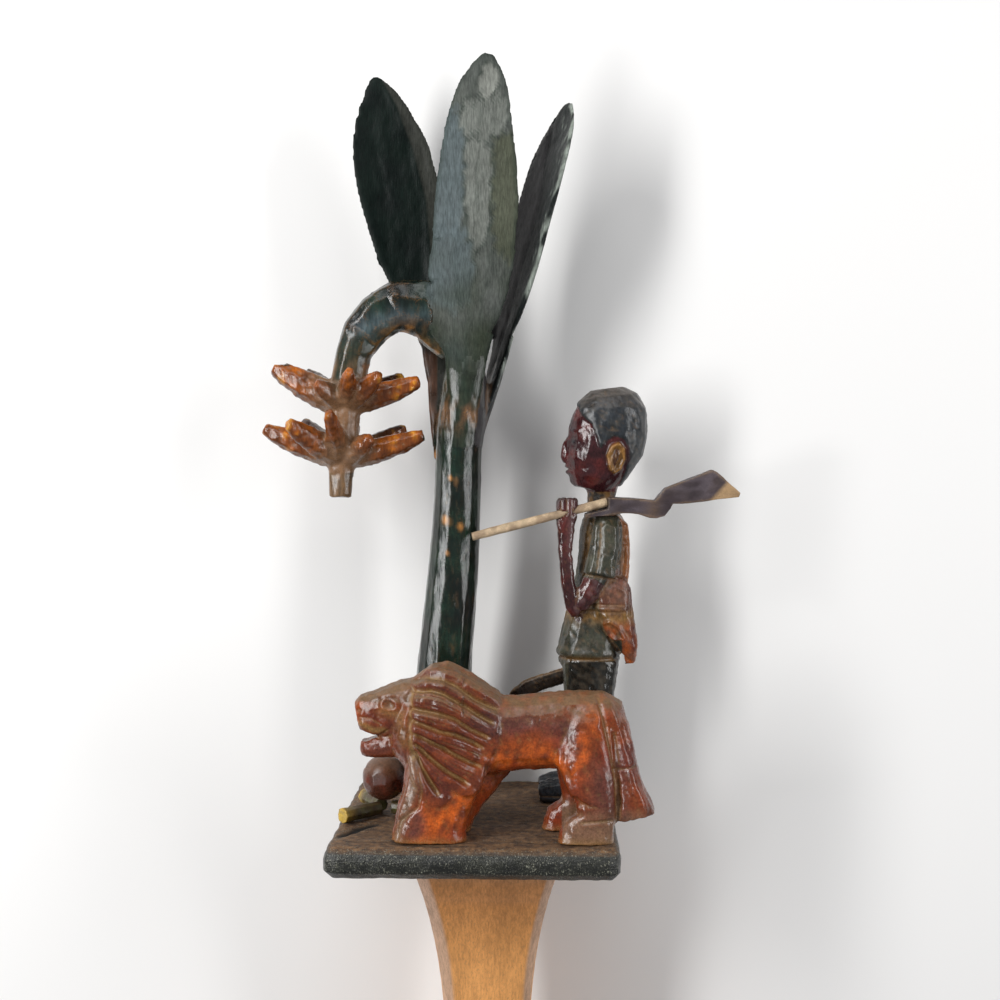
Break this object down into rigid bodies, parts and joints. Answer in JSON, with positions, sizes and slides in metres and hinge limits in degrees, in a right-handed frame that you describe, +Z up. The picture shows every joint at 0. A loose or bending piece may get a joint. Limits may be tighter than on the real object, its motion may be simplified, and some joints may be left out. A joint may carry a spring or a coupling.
{
  "type": "linguist staff",
  "caption": "Wooden staff of office lying on its back: gilded tapering shaft, square board and a carved group of plantain tree, hunter, lion and gourd hearth.",
  "frame": {"origin": "on the floor under the middle of the lying staff's box", "axes": "+Y along the staff towards the carved group, +X to the right of the group seen from its front, +Z up, which is the side that faces forwards when the staff is carried"},
  "size_m": [0.1978, 1.613, 0.1121],
  "materials": {
    "gilding": "worn gold leaf on wood, satin, brown where it is rubbed through",
    "board_paint": "black-green paint, dusty brown and scratched on top",
    "tree_paint": "dark green gloss paint over knife-cut wood, ochre where it is worn",
    "hunter_paint": "varnished paint: brown skin, olive tunic, red-brown bag, black boots",
    "bare_wood": "bare light wood, matte",
    "stock_paint": "purple-brown paint, semi-gloss, tan at the worn edges",
    "lion_paint": "orange-brown varnish, khaki dust in the grooves",
    "gourd_paint": "brown-purple paint, semi-gloss, dusty on top",
    "firewood_paint": "dark brown-green sides and yellow painted ends"
  },
  "bodies": {
    "root": {"staff_shaft": "gilding", "plinth_board": "board_paint", "plantain_tree": "tree_paint", "hunter": "hunter_paint", "gun_barrel": "bare_wood", "gun_stock": "stock_paint", "lion": "lion_paint", "round_gourd": "gourd_paint", "firewood_1": "firewood_paint", "firewood_2": "firewood_paint", "firewood_3": "firewood_paint"}
  },
  "joints": []
}
